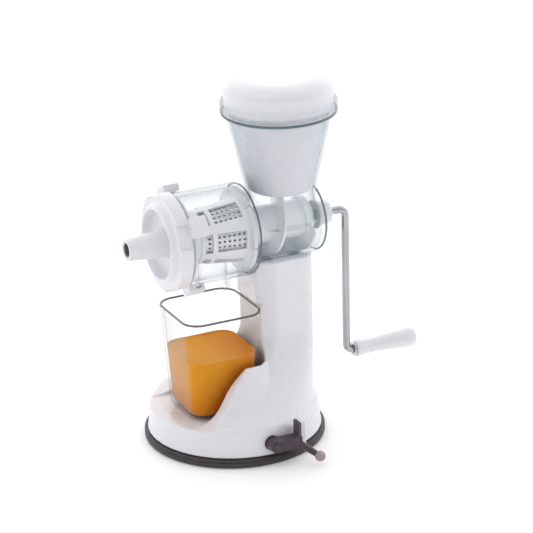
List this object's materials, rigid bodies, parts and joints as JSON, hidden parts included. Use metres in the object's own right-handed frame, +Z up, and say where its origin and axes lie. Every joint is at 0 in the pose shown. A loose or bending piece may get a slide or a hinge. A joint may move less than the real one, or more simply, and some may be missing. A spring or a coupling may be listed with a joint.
{
  "type": "hand-cranked juicer",
  "caption": "Hand-cranked auger juicer with clear hopper and barrel, strainer, pulp nozzle, square juice cup, side crank and suction foot with lever.",
  "frame": {"origin": "centre of the suction pad's underside, on the table", "axes": "+Z up; +Y along the barrel from the pulp nozzle to the crank; +X towards the suction lever"},
  "size_m": [0.1613, 0.2426, 0.2831],
  "materials": {
    "white_plastic": "glossy moulded",
    "clear_body": "clear moulded",
    "clear_cup": "clear moulded",
    "pad_rubber": "satin rubber",
    "seal_rubber": "silicone",
    "lever_plastic": "satin moulded",
    "chrome": "polished",
    "steel": "bright",
    "nylon": "satin"
  },
  "bodies": {
    "base": {"stand_shell": "white_plastic", "body_screw_front": "steel", "body_screw_rear": "steel", "suction_pad": "pad_rubber", "juicer_body": "clear_body", "shaft_bush": "nylon", "cap_gasket": "seal_rubber", "strainer_frame": "white_plastic", "strainer_mesh": "steel"},
    "drive": {"auger": "white_plastic", "auger_shaft": "steel", "shaft_seal": "seal_rubber", "crank_hub": "white_plastic", "crank_rod": "chrome", "grip_washer": "steel", "rivet_washer": "steel"},
    "grip": {"crank_grip": "white_plastic", "grip_plug": "white_plastic"},
    "pusher": {"pusher_plunger": "white_plastic", "pusher_cap": "white_plastic"},
    "cap": {"front_cap": "white_plastic"},
    "lever": {"suction_lever": "lever_plastic", "cam_shaft": "steel", "shaft_clip": "steel", "lever_screw": "steel"},
    "stud": {"suction_stud": "nylon"},
    "cup": {"juice_cup": "clear_cup"}
  },
  "joints": [
    {"name": "crank_turn", "type": "hinge", "parent": "base", "child": "drive", "pos_m": [0, 0, 0.166], "axis": [0, 1, 0], "continuous": true},
    {"name": "grip_spin", "type": "hinge", "parent": "drive", "child": "grip", "pos_m": [0, 0.132, 0.047], "axis": [0, 1, 0], "continuous": true},
    {"name": "pusher_lift", "type": "slide", "parent": "base", "child": "pusher", "axis": [0, 0, 1], "range_m": [0, 0.07]},
    {"name": "cap_twist", "type": "hinge", "parent": "base", "child": "cap", "pos_m": [0, 0, 0.166], "axis": [0, 1, 0], "range_deg": [0, 30]},
    {"name": "lever_turn", "type": "hinge", "parent": "base", "child": "lever", "pos_m": [0.07, 0, 0.0165], "axis": [1, 0, 0], "range_deg": [0, 90]},
    {"name": "stud_lift", "type": "slide", "parent": "base", "child": "stud", "axis": [0, 0, 1], "range_m": [0, 0.0026]},
    {"name": "cup_slide", "type": "slide", "parent": "base", "child": "cup", "axis": [0, -0.989, 0.1478], "range_m": [0, 0.1]}
  ],
  "couplings": [
    {"joint": "stud_lift", "follows": "lever_turn", "m_per_rad": 0.001592}
  ]
}
